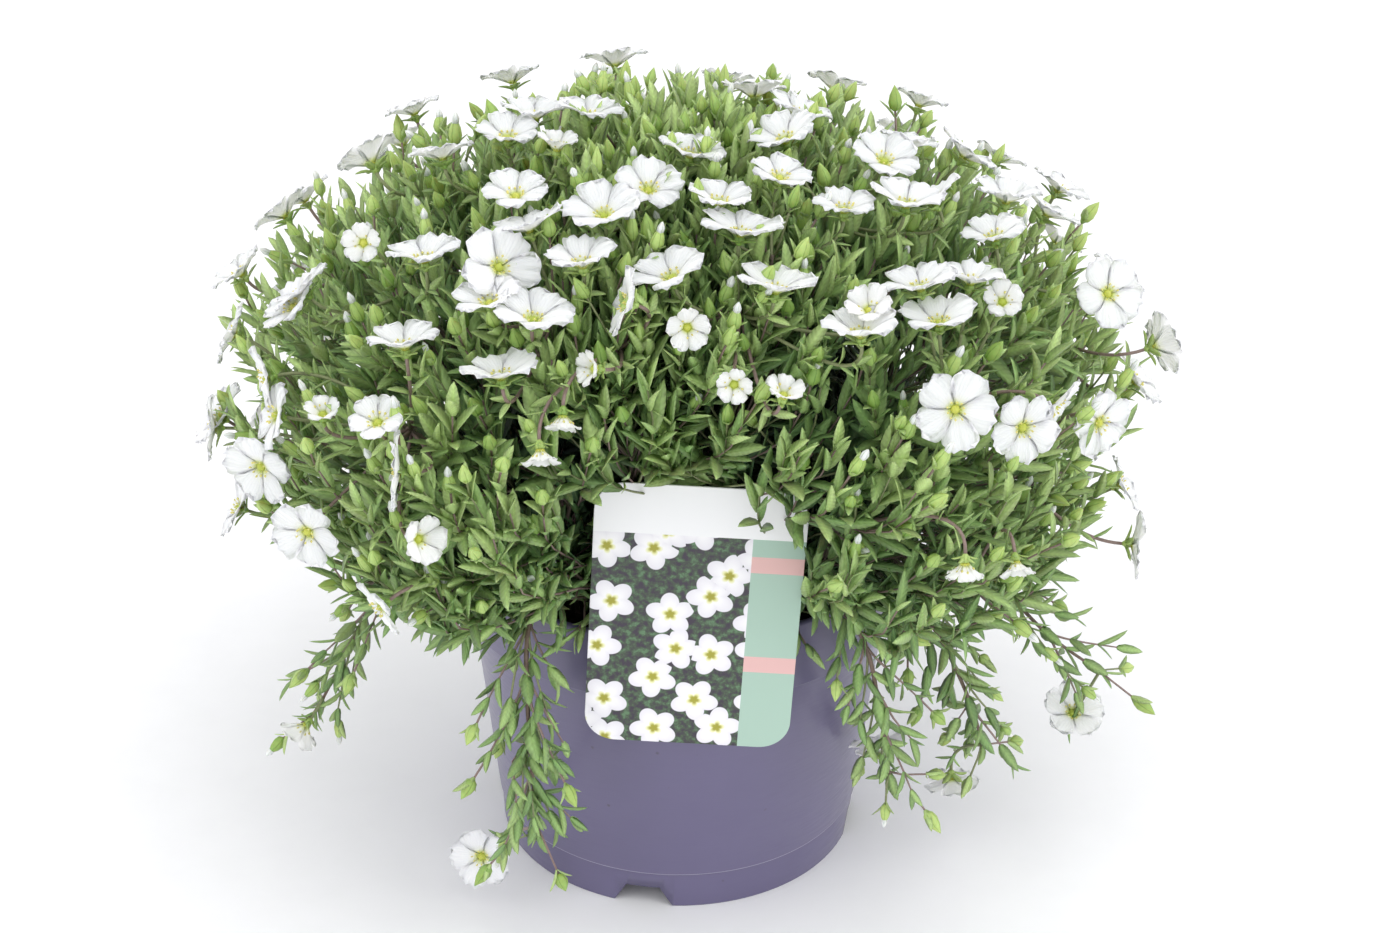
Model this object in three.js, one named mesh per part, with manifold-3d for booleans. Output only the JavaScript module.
// A potted mountain sandwort in flower: a plastic nursery pot filled with compost, a printed label, and a
// loose mound of leafy flowering sprays that stand in the compost. Millimetres, +Z up, front towards -Y.
// Each spray is one closed solid: its stem, its tuft of leaves, its flower stalks, buds and open blooms.
import * as THREE from "three";
import { mergeVertices } from "three/addons/utils/BufferGeometryUtils.js";
import Module from "manifold-3d";

const wasm = await Module();
wasm.setup();
const { Manifold, Mesh: SolidMesh } = wasm;

// Driving dimensions of the pot
const POT_SIDES = 32;
const POT_HEIGHT = 142;
const WALL = 1.6;
const COLLAR = { radius: 95, bottom: 112, draft: 1 };
const WALL_TOP_RADIUS = 88.4;
const STEP = { height: 17, radius: 78.6 };
const FOOT = { radius: 77, clearance: 11 };
const NOTCH = { count: 4, firstDeg: -100, wideAtBase: 24, wideAtTop: 14, height: 9.5 };
const DRAIN = { count: 6, radius: 5.5, ring: 50, sides: 6 };

// Driving dimensions of the compost
const GAP = 0.3;
const SOIL_TOP = 127;
const SOIL_EDGE = { width: 6, drop: 2.5 };
const HOLE = { depth: 12, play: 0.7 };

// Driving dimensions of the label
const CARD = { width: 80, height: 114, corner: 12, thick: 0.8, bottom: 97, front: -99.2, turnDeg: 2.8, x: 4 };
const STAKE = { width: 14, thick: 1, tip: [4, -80, 92], headBelowTop: 12 };

// Driving dimensions of the plant
const SPRAYS = 36;
const STEM_RADIUS = 1.3;
const STALK_RADIUS = 0.85;
const ROOT_RING = 74;
const FORK_DEPTH = 3;
const GOLDEN_DEG = 137.508;
const MOUND = { radius: 184, widestZ: 205, topZ: 320, lowZ: 88, lowestPolarDeg: 117 };
const FRONT_DIP = { depth: 48, rise: 42, lowRise: 60, halfWidthDeg: 26, stopShort: 0.3 };
const HUB = { spread: 1.24, height: 168, heightAtFront: 150 };
const CROWN_SHARE = 0.82;
const TUFT = { bare: 4, rings: 9, reach: 28, core: 3.5, lift: 14, sides: 6 };
const TUFT_LENGTH = 66;
const TRAIL = { bare: 4, rings: 14, reach: 13, core: 1.8, lift: 9, sides: 6 };
const TRAIL_LEAFY_FROM = 0.42;
const BLOOM = { petals: 5, cup: 0.14, notch: 0.76, depth: 3.4, halfOpen: { width: 20, cup: 0.7 } };
const BUD = { each: 2, stalk: 15, neck: 0.8, radius: 3, length: 12, lean: [0.3, 0.8] };
const BACK_BLOOMS = 38;

const COLOURS = {
  pot: { color: 0x6f6a86, roughness: 0.5 },
  soil: { color: 0x3a2a20, roughness: 1 },
  label: { color: 0xf2f2f4, roughness: 0.35 },
  spray: { color: 0x7f9e55, roughness: 0.6 },
};

// Solids

// A closed manifold-3d solid from a three.js geometry, turned the right way out.
function solidOf(geometry) {
  const bare = geometry.clone();
  bare.deleteAttribute("normal");
  bare.deleteAttribute("uv");
  const merged = mergeVertices(bare, 1e-4);
  const triVerts = [];
  for (let i = 0; i < merged.index.count; i += 3) {
    const [a, b, c] = [0, 1, 2].map((k) => merged.index.getX(i + k));
    if (a !== b && b !== c && a !== c) triVerts.push(a, b, c);
  }
  const vertProperties = merged.attributes.position.array;
  const solid = (corners) => {
    return new Manifold(new SolidMesh({ numProp: 3, vertProperties, triVerts: new Uint32Array(corners) }));
  };
  const made = solid(triVerts);
  if (made.volume() > 0) return made;
  return solid(triVerts.map((_, i) => triVerts[i - (i % 3) + [0, 2, 1][i % 3]]));
}

// The named mesh of a solid. Loose scraps and sealed hollows are left out: only the largest body stays.
function meshOf(name, solid, look) {
  const [body] = solid.decompose().sort((a, b) => b.volume() - a.volume());
  const { vertProperties, triVerts, numProp } = body.getMesh();
  const corners = new Float32Array((vertProperties.length / numProp) * 3);
  for (let i = 0; i * 3 < corners.length; i++) {
    corners.set(vertProperties.subarray(i * numProp, i * numProp + 3), i * 3);
  }
  const geometry = new THREE.BufferGeometry();
  geometry.setAttribute("position", new THREE.BufferAttribute(corners, 3));
  geometry.setIndex(new THREE.BufferAttribute(triVerts, 1));
  geometry.computeVertexNormals();
  const mesh = new THREE.Mesh(geometry, new THREE.MeshStandardMaterial({ metalness: 0, ...look }));
  mesh.name = name;
  return mesh;
}

// A body of revolution about +Z from a profile of [radius, height] pairs.
function turned(profile, sides) {
  const points = profile.map(([r, z]) => new THREE.Vector2(r, z));
  return new THREE.LatheGeometry(points, sides).rotateX(Math.PI / 2);
}

// A prism with its outline in XY and its length along +Z.
function prism(outline, length) {
  const shape = new THREE.Shape(outline.map(([x, y]) => new THREE.Vector2(x, y)));
  return new THREE.ExtrudeGeometry(shape, { depth: length, bevelEnabled: false });
}

function regular(sides, radius) {
  return Array.from({ length: sides }, (_, i) => {
    const turn = (i / sides) * 2 * Math.PI;
    return [radius * Math.cos(turn), radius * Math.sin(turn)];
  });
}

// A geometry modelled along +Z, set so that its origin is at a point and its +Z looks along a direction.
function aimed(geometry, at, along, spin = 0) {
  const turn = new THREE.Quaternion().setFromUnitVectors(vec(0, 0, 1), along.clone().normalize());
  return geometry.rotateZ(spin).applyQuaternion(turn).translate(at.x, at.y, at.z);
}

// A closed skin from a first point, over rings with the same number of corners, to a last point. Each square
// between two rings is split the other way from its neighbours, so that every other corner can stand out.
function loft(first, rings, last) {
  const corners = [first, ...rings.flat(), last];
  const sides = rings[0].length;
  const at = (ring, side) => 1 + ring * sides + (side % sides);
  const faces = [];
  for (let side = 0; side < sides; side++) {
    faces.push(0, at(0, side + 1), at(0, side));
    faces.push(corners.length - 1, at(rings.length - 1, side), at(rings.length - 1, side + 1));
    for (let ring = 0; ring < rings.length - 1; ring++) {
      const [a, b, c, d] = [at(ring, side), at(ring, side + 1), at(ring + 1, side + 1), at(ring + 1, side)];
      faces.push(...((ring + side) % 2 === 0 ? [a, b, d, d, b, c] : [a, b, c, a, c, d]));
    }
  }
  return solidOf(new THREE.BufferGeometry().setFromPoints(corners).setIndex(faces));
}

const vec = (x, y, z) => new THREE.Vector3(x, y, z);
const rad = THREE.MathUtils.degToRad;
const mix = THREE.MathUtils.lerp;

// Evenly spread shares from 0 to 1, the same on every run: n is the place in a series, k picks the series.
const SERIES = [0.7548776662, 0.569840291, 0.6710436067, 0.5497004779, 0.8566748839];
const share = (n, k) => ((n + 1) * SERIES[k]) % 1;

// Pot

function potWallRadius(z) {
  return mix(STEP.radius, WALL_TOP_RADIUS, (z - STEP.height) / (COLLAR.bottom - STEP.height));
}

function makePot() {
  const floorTop = FOOT.clearance + WALL;
  const inner = (z) => potWallRadius(z) - WALL;
  const shell = solidOf(
    turned(
      [
        [0, FOOT.clearance],
        [FOOT.radius - 1.5 * WALL, FOOT.clearance],
        [FOOT.radius - WALL, 0],
        [FOOT.radius, 0],
        [STEP.radius - 0.9, STEP.height],
        [STEP.radius, STEP.height],
        [WALL_TOP_RADIUS, COLLAR.bottom],
        [COLLAR.radius - COLLAR.draft, COLLAR.bottom],
        [COLLAR.radius, POT_HEIGHT - 1],
        [COLLAR.radius - 0.8, POT_HEIGHT],
        [COLLAR.radius - WALL - 0.6, POT_HEIGHT],
        [COLLAR.radius - COLLAR.draft - WALL, COLLAR.bottom + WALL],
        [WALL_TOP_RADIUS - WALL, COLLAR.bottom + WALL],
        [inner(floorTop), floorTop],
        [0, floorTop],
      ],
      POT_SIDES,
    ),
  );
  const { wideAtBase, wideAtTop, height } = NOTCH;
  const opening = [
    [-wideAtBase / 2 - 1, -1],
    [wideAtBase / 2 + 1, -1],
    [wideAtTop / 2, height],
    [-wideAtTop / 2, height],
  ];
  const cuts = [];
  for (let i = 0; i < NOTCH.count; i++) {
    const cutter = prism(opening, 20).rotateX(Math.PI / 2).rotateZ(Math.PI / 2);
    cutter.translate(FOOT.radius - 10, 0, 0);
    cuts.push(solidOf(cutter.rotateZ(rad(NOTCH.firstDeg + (360 / NOTCH.count) * i))));
  }
  for (let i = 0; i < DRAIN.count; i++) {
    const hole = prism(regular(DRAIN.sides, DRAIN.radius), 10).translate(DRAIN.ring, 0, FOOT.clearance - 4);
    cuts.push(solidOf(hole.rotateZ((i / DRAIN.count) * 2 * Math.PI)));
  }
  return shell.subtract(Manifold.union(cuts));
}

// Compost, with a plain hole for each stem

function makeSoil(sprays) {
  const inside = (z) => potWallRadius(z) - WALL - GAP;
  const bottom = FOOT.clearance + WALL + GAP;
  const ledge = COLLAR.bottom + WALL + GAP;
  const collarInside = COLLAR.radius - COLLAR.draft - WALL - GAP;
  const plug = solidOf(
    turned(
      [
        [0, bottom],
        [inside(bottom), bottom],
        [inside(COLLAR.bottom), ledge],
        [collarInside, ledge],
        [collarInside, SOIL_TOP - SOIL_EDGE.drop],
        [collarInside - SOIL_EDGE.width, SOIL_TOP],
        [0, SOIL_TOP],
      ],
      POT_SIDES,
    ),
  );
  const holes = sprays.map(({ stem, leafyFrom }) => {
    const [foot, next] = [stem.getPoint(0), stem.getPointAt(leafyFrom / TUFT.bare)];
    const along = next.sub(foot).normalize();
    const cutter = prism(regular(4, (STEM_RADIUS + HOLE.play) * Math.SQRT2), 2 * HOLE.depth);
    return solidOf(aimed(cutter, foot.addScaledVector(along, -GAP), along));
  });
  const slot = stakeStrip(STAKE.width + 2 * GAP, STAKE.thick + 2 * GAP).translate(0, 0, -GAP);
  return plug.subtract(Manifold.union([...holes, solidOf(slot)]));
}

// Label: one sheet, a card in front of the pot with a pointed stake behind it, which runs down from near the
// card's top, over the rim and into the compost.

function roundedCard({ width, height, corner }) {
  const [x, shape] = [width / 2, new THREE.Shape()];
  shape.moveTo(-x + corner, 0).lineTo(x - corner, 0);
  shape.absarc(x - corner, corner, corner, -Math.PI / 2, 0, false);
  shape.absarc(x - corner, height - corner, corner, 0, Math.PI / 2, false);
  shape.absarc(-x + corner, height - corner, corner, Math.PI / 2, Math.PI, false);
  shape.absarc(-x + corner, corner, corner, Math.PI, 1.5 * Math.PI, false);
  return shape;
}

function stakeStrip(width, thick) {
  const tip = vec(...STAKE.tip);
  const head = vec(CARD.x, CARD.front + CARD.thick + 0.1, CARD.bottom + CARD.height - STAKE.headBelowTop);
  const along = head.clone().sub(tip);
  const outline = [
    [0, 0],
    [width / 2, width],
    [width / 2, along.length()],
    [-width / 2, along.length()],
    [-width / 2, width],
  ];
  const strip = prism(outline, thick).rotateX(Math.PI / 2).translate(0, thick / 2, 0);
  return aimed(strip, tip, along);
}

function makeLabel() {
  const flat = { depth: CARD.thick, bevelEnabled: false, curveSegments: 4 };
  const card = new THREE.ExtrudeGeometry(roundedCard(CARD), flat);
  card.rotateX(Math.PI / 2).rotateY(rad(CARD.turnDeg));
  card.translate(CARD.x, CARD.front + CARD.thick, CARD.bottom);
  return solidOf(card).add(solidOf(stakeStrip(STAKE.width, STAKE.thick)));
}

// The mound: a broad flat-topped dome, widest above the rim, that draws back above the label at the front.

const frontness = (azimuth) => {
  const off = THREE.MathUtils.euclideanModulo(azimuth + Math.PI / 2 + Math.PI, 2 * Math.PI) - Math.PI;
  return Math.exp(-((off / rad(FRONT_DIP.halfWidthDeg)) ** 2));
};

// The distance from the mound's middle at this azimuth to its surface, in the direction of a polar angle.
function moundReach(azimuth, polar) {
  const dip = frontness(azimuth);
  const across = MOUND.radius - FRONT_DIP.depth * dip;
  const widest = MOUND.widestZ + FRONT_DIP.rise * dip;
  const upper = polar < Math.PI / 2;
  const tall = upper ? MOUND.topZ - widest : widest - MOUND.lowZ - FRONT_DIP.lowRise * dip;
  const power = upper ? 2.4 : 3 - 1.6 * dip;
  const sum = (Math.sin(polar) / across) ** power + (Math.abs(Math.cos(polar)) / tall) ** power;
  return { reach: sum ** (-1 / power), widest };
}

function moundPoint(azimuth, polar, scale) {
  const { reach, widest } = moundReach(azimuth, polar);
  const out = scale * reach * Math.sin(polar);
  return vec(out * Math.cos(azimuth), out * Math.sin(azimuth), widest + scale * reach * Math.cos(polar));
}

// How far out a point lies: under 1 inside the mound's surface, over 1 outside it.
function moundShare(p) {
  const azimuth = Math.atan2(p.y, p.x);
  const out = Math.hypot(p.x, p.y);
  const { widest } = moundReach(azimuth, 0);
  const { reach } = moundReach(azimuth, Math.atan2(out, p.z - widest));
  return Math.hypot(out, p.z - widest) / reach;
}

// The reference view, from in front and above. seen() finds where a place in that picture lies on the mound.
const VIEW = { from: vec(8.2, -881, 629), pitchDeg: 27.65, rollDeg: 0.72, focal: 2400, centre: [700, 466.5] };

function sightLine([px, py]) {
  const [pitch, roll] = [rad(VIEW.pitchDeg), rad(VIEW.rollDeg)];
  const [right, up] = [(px - VIEW.centre[0]) / VIEW.focal, (VIEW.centre[1] - py) / VIEW.focal];
  const x = right * Math.cos(roll) - up * Math.sin(roll);
  const y = right * Math.sin(roll) + up * Math.cos(roll);
  return vec(x, Math.cos(pitch) + y * Math.sin(pitch), -Math.sin(pitch) + y * Math.cos(pitch));
}

function seen(place) {
  const line = sightLine(place);
  let best = null;
  for (let far = 560; far < 1250; far += 2) {
    const point = VIEW.from.clone().addScaledVector(line, far);
    const out = moundShare(point);
    if (out <= 1) return point;
    if (!best || out < best.out) best = { out, point };
  }
  return best.point;
}

// The blooms on the front, each as its place in the reference picture, its width in millimetres, and the way
// it faces as parts to the right, towards the viewer and up.
const FRONT_BLOOMS = [
  [286, 217, 26, -6, -3, 7], [364, 243, 15, -1, 9, 4], [372, 165, 26, -5, -5, 7], [443, 160, 26, -2, -3, 9],
  [516, 198, 25, 0, 2, 9], [508, 140, 25, 0, 1, 9], [535, 120, 27, 0, -1, 9], [589, 118, 27, 1, -1, 9],
  [425, 262, 28, -1, -1, 9], [498, 268, 30, 4, 6, 6], [305, 292, 26, -6, -1, 7], [557, 150, 16, 1, 0, 9],
  [648, 192, 26, 1, 3, 8], [604, 218, 30, -1, 2, 9], [530, 232, 28, -3, -2, 9], [690, 157, 26, 2, 0, 9],
  [719, 205, 24, 1, 0, 9], [740, 236, 31, 1, -1, 9], [754, 98, 26, 0, -4, 9], [797, 117, 27, 3, -1, 9],
  [786, 142, 28, -3, 1, 9], [779, 180, 24, 2, 1, 9], [775, 293, 29, 1, -1, 9], [672, 280, 28, -3, 1, 9],
  [583, 267, 26, -1, 0, 9], [844, 212, 24, 0, 0, 9], [883, 163, 27, 2, 3, 8], [906, 150, 24, 2, -2, 9],
  [963, 158, 27, 6, -2, 8], [935, 203, 26, -5, -2, 8], [890, 216, 28, 1, 0, 9], [1006, 203, 27, 1, -1, 9],
  [1046, 216, 26, 5, -2, 8], [995, 240, 25, -2, 0, 9], [1107, 294, 29, 3, 7, 5], [921, 290, 28, -2, -1, 9],
  [970, 284, 25, 1, -1, 9], [869, 312, 17, -1, 4, 8], [861, 337, 28, -1, 0, 9], [939, 325, 28, -1, 0, 9],
  [1002, 303, 15, 0, 7, 7], [295, 308, 26, -6, 2, 7], [236, 335, 26, -9, 0, 4], [268, 378, 26, -8, 3, -1],
  [216, 428, 27, -9, 2, 1], [262, 466, 29, -4, 8, -1], [277, 416, 26, -8, 3, 3], [308, 531, 28, -3, 9, -1],
  [405, 349, 26, -1, -1, 9], [501, 379, 28, -1, -1, 9], [533, 322, 29, 1, 1, 9], [490, 305, 25, -2, 1, 9],
  [378, 424, 20, -1, 4, 8], [401, 471, 29, -9, 1, 1], [655, 316, 26, -9, 1, 3], [687, 327, 16, 1, 9, 2],
  [734, 384, 13, 0, 9, 2], [955, 409, 30, 1, 9, 2], [1022, 427, 27, 3, 9, 1], [1053, 405, 26, 7, 4, -3],
  [1098, 422, 27, 5, 8, 0], [1152, 347, 27, 9, -3, 2], [417, 539, 18, 6, 7, 3], [382, 606, 24, -7, 5, -4],
  [1131, 544, 28, 9, 1, 0], [596, 369, 13, -8, 5, 3], [563, 416, 13, 0, 5, -8], [540, 450, 14, 1, 6, -8],
  [783, 397, 14, 2, 2, 9], [323, 416, 13, 0, 3, 9], [965, 563, 14, 0, 2, -9], [1016, 562, 13, 1, 6, -7],
];

function frontBlooms() {
  return FRONT_BLOOMS.map(([px, py, width, right, towards, up]) => ({
    at: seen([px, py]),
    width,
    facing: vec(right, -towards, up).normalize(),
  }));
}

// The blooms on the side that the reference picture doesn't show follow a golden-angle spiral.
function backBlooms() {
  const made = [];
  for (let i = 0; made.length < BACK_BLOOMS; i++) {
    const polar = Math.acos(1 - 1.3 * share(i, 0));
    const at = moundPoint(rad(GOLDEN_DEG * i), polar, 1);
    const nearer = at.clone().addScaledVector(VIEW.from.clone().sub(at).normalize(), 8);
    if (moundShare(nearer) > 1) continue;
    const facing = vec(at.x * 0.6, at.y * 0.6, 100 + (at.z - MOUND.widestZ)).normalize();
    made.push({ at, width: 24 + 6 * share(i, 1), facing });
  }
  return made;
}

// A unit vector square to an axis, at a turn round it.
function squareTo(axis, turn) {
  const side = vec(0, 0, 1).cross(axis);
  if (side.lengthSq() < 1e-6) side.set(1, 0, 0);
  side.normalize();
  const other = axis.clone().cross(side);
  return side.multiplyScalar(Math.cos(turn)).addScaledVector(other, Math.sin(turn));
}

// A bloom on its bent three-sided stalk. Five broad petals make one shallow lobed dish, three corners to a
// petal, which is drawn in underneath to the top of the stalk.
function bloomSolid({ at, width, facing }, start, spin) {
  const { petals, cup, notch, depth, halfOpen } = BLOOM;
  const count = petals * 3;
  const under = at.clone().addScaledVector(facing, -depth);
  const bend = under.clone().addScaledVector(facing, -0.4 * under.distanceTo(start));
  const stalk = new THREE.QuadraticBezierCurve3(start, bend, under);
  const rise = (width / 2) * (width < halfOpen.width ? halfOpen.cup : cup);
  const ring = (middle, axis, corner) => {
    const turnTo = new THREE.Quaternion().setFromUnitVectors(facing, axis);
    return Array.from({ length: count }, (_, i) => {
      const { turn, out, up } = corner(i);
      const along = squareTo(facing, turn + spin).applyQuaternion(turnTo);
      return middle.clone().addScaledVector(along, out).addScaledVector(axis, up);
    });
  };
  const onStalk = (i) => ({ turn: (Math.round(i / petals) * 2 * Math.PI) / 3, out: STALK_RADIUS, up: 0 });
  const onPetal = (i) => {
    const between = i % 3 === 0;
    const out = (width / 2) * (between ? notch : 1);
    return { turn: (i / count) * 2 * Math.PI, out, up: rise * (between ? notch : 1) };
  };
  const rings = [
    ring(stalk.getPoint(0.5), stalk.getTangent(0.5), onStalk),
    ring(under, facing, onStalk),
    ring(at, facing, onPetal),
  ];
  return loft(start, rings, at.clone().addScaledVector(facing, 0.3 * rise));
}

// A bud on its stalk: a slim stalk, sunk in at its point, that widens into a pointed green bud.
function budSolid(root, along, stalk, spin) {
  const { radius, length, neck } = BUD;
  const profile = [
    [0, 0],
    [neck, stalk],
    [radius, stalk + length * 0.38],
    [0, stalk + length],
  ];
  return solidOf(aimed(turned(profile, 4), root, along, spin));
}

// A leafy shoot along a curve. It starts as a bare three-sided stem. From its leafy share on it has rings of
// corners round a slim core. Every other corner is drawn out and forward to a leaf's tip, and the ones
// between stay on the core. The last ring stays bare, as the place where it forks.
function shootSolid(curve, leafyFrom, { bare, rings, reach, core, lift, sides }, size, spin) {
  const fine = 80;
  const { normals, binormals, tangents } = curve.computeFrenetFrames(fine, false);
  const ringAt = (share, corner) => {
    const place = Math.round(share * fine);
    return Array.from({ length: sides }, (_, side) => {
      const { turn, out, forward } = corner(side);
      const along = normals[place].clone().multiplyScalar(Math.cos(turn + spin));
      along.addScaledVector(binormals[place], Math.sin(turn + spin));
      const middle = curve.getPointAt(place / fine);
      return middle.addScaledVector(along, out).addScaledVector(tangents[place], forward);
    });
  };
  const onStem = (side) => {
    const turn = (Math.round((side * 3) / sides) * 2 * Math.PI) / 3;
    return { turn, out: STEM_RADIUS, forward: 0 };
  };
  const stem = Array.from({ length: bare }, (_, k) => ringAt((leafyFrom * k) / bare, onStem));
  const whorls = Array.from({ length: rings }, (_, ring) => {
    const full = size * (0.62 + 0.38 * Math.sin((Math.PI * (ring + 1)) / rings));
    return ringAt(mix(leafyFrom, 0.985, ring / (rings - 1)), (side) => {
      const isTip = (bare + ring + side) % 2 === 0 && ring < rings - 1;
      const turn = (side / sides) * 2 * Math.PI;
      return isTip ? { turn, out: reach * full, forward: lift * full } : { turn, out: core, forward: 0 };
    });
  });
  return loft(curve.getPoint(0), [...stem, ...whorls], curve.getPoint(1));
}

// Sprays

// A spray stands on its own root in the compost. Its bare stem climbs to the foot of its tuft, and the tuft
// leads from there out to the crown.
function standingSpray(azimuth, rootRadius, hubHeight, crown) {
  const around = (radius, z) => vec(radius * Math.cos(azimuth), radius * Math.sin(azimuth), z);
  const hub = around(rootRadius * HUB.spread, hubHeight);
  const axis = crown.clone().sub(hub).normalize();
  const foot = crown.clone().addScaledVector(axis, -Math.min(TUFT_LENGTH, crown.distanceTo(hub)));
  const root = around(rootRadius, SOIL_TOP - HOLE.depth);
  const climb = 0.45 * foot.distanceTo(root);
  const stem = new THREE.CurvePath();
  const above = root.clone().setZ(root.z + climb);
  stem.add(new THREE.CubicBezierCurve3(root, above, foot.clone().addScaledVector(axis, -0.5 * climb), foot));
  stem.add(new THREE.LineCurve3(foot, crown));
  const leafyFrom = 1 - foot.distanceTo(crown) / stem.getLength();
  const fork = crown.clone().addScaledVector(axis, -FORK_DEPTH);
  return { stem, leafyFrom, crown, axis, fork, pieces: [] };
}

// The crowns follow a golden-angle spiral from the top of the mound down to its skirt, a little inside its
// surface. They stop higher above the label.
function makeSpray(index, turnDeg) {
  const lowest = rad(MOUND.lowestPolarDeg);
  const azimuth = rad(GOLDEN_DEG * index + turnDeg);
  const polar = Math.acos(1 - ((1 - Math.cos(lowest)) * (index + 0.5)) / SPRAYS);
  const rootRadius = ROOT_RING * Math.min(1, (polar / lowest) ** 0.8);
  const crown = moundPoint(azimuth, polar * (1 - FRONT_DIP.stopShort * frontness(azimuth)), CROWN_SHARE);
  return standingSpray(azimuth, rootRadius, HUB.height, crown);
}

// Short sprays that fill the front over the label and the rim beside it, as azimuth, root radius and crown.
const FILLERS = [
  [-112, 62, [-34, -98, 226]],
  [-91, 58, [2, -96, 238]],
  [-70, 62, [38, -98, 228]],
  [-131, 80, [-84, -104, 168]],
  [-47, 80, [80, -98, 176]],
  [-121, 66, [-56, -108, 196]],
  [-58, 66, [58, -106, 198]],
];

function makeFiller([azimuthDeg, rootRadius, crown], turnDeg) {
  return standingSpray(rad(azimuthDeg + turnDeg), rootRadius, HUB.heightAtFront, vec(...crown));
}

// The sprays that hang over the rim, each as the points that its stem runs through.
const HANGING = [
  [[-50, -56, 115], [-50, -56, 134], [-53, -76, 157], [-57, -100, 144], [-56, -112, 104], [-54, -108, 60]],
  [[40, -62, 111], [40, -62, 134], [52, -78, 156], [70, -94, 146], [80, -92, 108], [86, -84, 72]],
  [[70, -20, 111], [70, -20, 134], [86, -24, 156], [116, -40, 150], [150, -48, 118], [176, -44, 96]],
  [[62, -42, 111], [62, -42, 134], [78, -52, 154], [100, -66, 134], [118, -68, 98], [126, -60, 70]],
  [[-70, -24, 111], [-70, -24, 134], [-86, -30, 154], [-114, -46, 142], [-134, -52, 108], [-146, -52, 84]],
];

function makeHanging(points) {
  const stem = new THREE.CatmullRomCurve3(points.map((p) => vec(...p)));
  const axis = stem.getTangent(1);
  const fork = stem.getPoint(1).addScaledVector(axis, -FORK_DEPTH);
  return { stem, leafyFrom: TRAIL_LEAFY_FROM, axis, fork, pieces: [] };
}

// Blooms that hang below the rim, as the hanging spray that bears each, its place, width and facing.
const HANGING_BLOOMS = [
  [0, [-80, -76, 24], 27, [-2, -9, 2]],
  [1, [84, -52, 62], 24, [-2, 3, 9]],
  [2, [166, -34, 70], 27, [1, -5, 9]],
  [3, [116, -44, 44], 24, [1, -1, -9]],
  [4, [-152, -58, 76], 18, [-6, -2, -8]],
];

// A piece joins its spray only where it is clear of everything that the other nodes already hold.
const taken = [];

function isClear(solid, owner) {
  const box = solid.boundingBox();
  const apart = (other) => [0, 1, 2].some((k) => box.min[k] > other.max[k] || box.max[k] < other.min[k]);
  return taken.every((t) => t.owner === owner || apart(t.box) || t.solid.intersect(solid).isEmpty());
}

function hold(owner, solid) {
  taken.push({ owner, solid, box: solid.boundingBox() });
}

function join(spray, solid) {
  if (!isClear(solid, spray)) return false;
  spray.pieces.push(solid);
  hold(spray, solid);
  return true;
}

// A bloom, moved out of its neighbours' way a little at a time until it is clear of them.
function joinBloom(spray, bloom, index) {
  for (let step = 0; step < 60; step++) {
    const ring = Math.ceil(step / 6) * 3;
    const turn = step * 2.4;
    const at = bloom.at.clone().add(vec(ring * Math.cos(turn), ring * Math.sin(turn) * 0.6, ring * 0.5));
    const start = spray.fork.clone().addScaledVector(at.clone().sub(spray.fork).normalize(), 1.5);
    if (join(spray, bloomSolid({ ...bloom, at }, start, index))) return true;
  }
  return false;
}

function nearestSpray(sprays, point) {
  const distance = (spray) => spray.crown.distanceTo(point);
  return sprays.reduce((a, b) => (distance(b) < distance(a) ? b : a));
}

// A direction that leans away from an axis by an angle, at a turn round it.
function leaning(axis, lean, turn) {
  return axis.clone().multiplyScalar(Math.cos(lean)).addScaledVector(squareTo(axis, turn), Math.sin(lean));
}

function addBuds(spray, index, count) {
  for (let i = 0; i < count; i++) {
    const n = index * 5 + i;
    const along = leaning(spray.axis, mix(...BUD.lean, share(n, 2)), 2 * Math.PI * share(n, 3));
    const stalk = BUD.stalk * mix(0.8, 1.8, share(n, 4));
    join(spray, budSolid(spray.fork.clone().addScaledVector(along, 1), along, stalk, n));
  }
}

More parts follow.
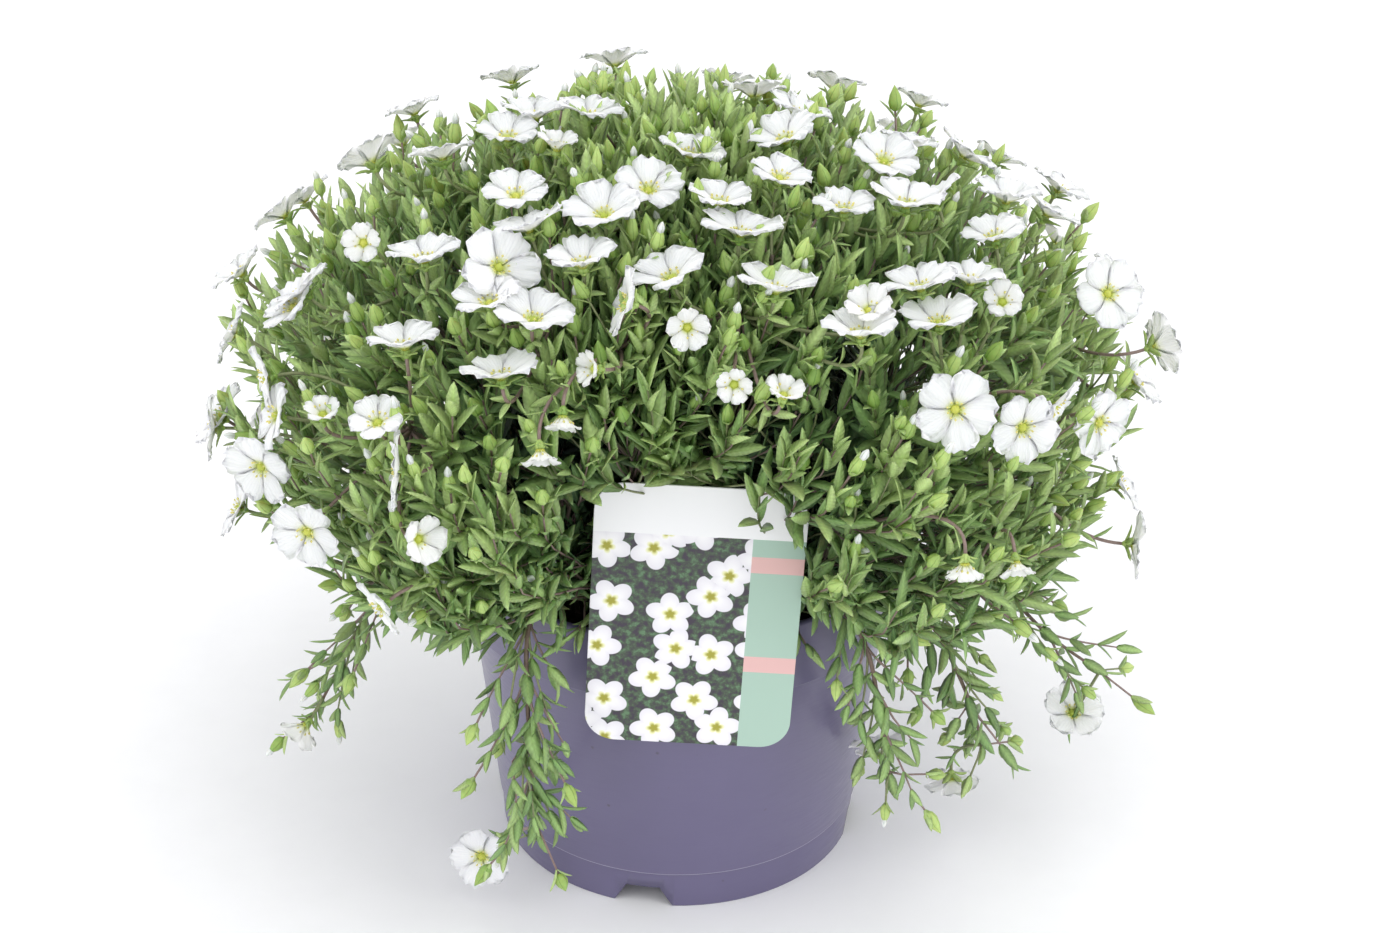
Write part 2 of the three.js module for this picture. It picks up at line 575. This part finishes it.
// A standing spray is turned a little about the pot's middle, or made slimmer, where it would meet another.
// One that finds no clear place is left out.
function plant(make, index) {
  for (const size of [1, 0.8, 0.6, 0.4]) {
    for (let step = 0; step < 13; step++) {
      const spray = make((step % 2 ? 1 : -1) * Math.ceil(step / 2) * 3);
      if (join(spray, shootSolid(spray.stem, spray.leafyFrom, TUFT, size, index))) return [spray];
    }
  }
  return [];
}

const numbered = (name, sprays) => {
  return sprays.map((spray, i) => ({ ...spray, name: `${name}_${String(i + 1).padStart(2, "0")}` }));
};

function makeSprays() {
  const hanging = HANGING.map(makeHanging);
  hanging.forEach((spray) => join(spray, shootSolid(spray.stem, spray.leafyFrom, TRAIL, 1, 0)));
  const fillers = FILLERS.flatMap((row, i) => plant((turnDeg) => makeFiller(row, turnDeg), i));
  const dome = Array.from({ length: SPRAYS }, (_, i) => plant((turnDeg) => makeSpray(i, turnDeg), i)).flat();
  const standing = [...dome, ...fillers];
  HANGING_BLOOMS.forEach(([owner, at, width, facing], i) => {
    joinBloom(hanging[owner], { at: vec(...at), width, facing: vec(...facing).normalize() }, i);
  });
  [...frontBlooms(), ...backBlooms()].forEach((bloom, i) => {
    joinBloom(nearestSpray(standing, bloom.at), bloom, i);
  });
  [...standing, ...hanging].forEach((spray, i) => addBuds(spray, i, BUD.each));
  return [
    ...numbered("spray", dome),
    ...numbered("front_spray", fillers),
    ...numbered("hanging_spray", hanging),
  ];
}

// Assembly

const root = new THREE.Group();
const potSolid = makePot();
const labelSolid = makeLabel();
hold("pot", potSolid);
hold("label", labelSolid);
const sprays = makeSprays();
root.add(meshOf("pot", potSolid, COLOURS.pot));
root.add(meshOf("soil", makeSoil(sprays), COLOURS.soil));
root.add(meshOf("label", labelSolid, COLOURS.label));
sprays.forEach((spray) => root.add(meshOf(spray.name, Manifold.union(spray.pieces), COLOURS.spray)));

// The origin is under the middle of the whole object, on the surface that it stands on.
const box = new THREE.Box3().setFromObject(root);
root.position.set(-(box.min.x + box.max.x) / 2, -(box.min.y + box.max.y) / 2, 0);

export default root;
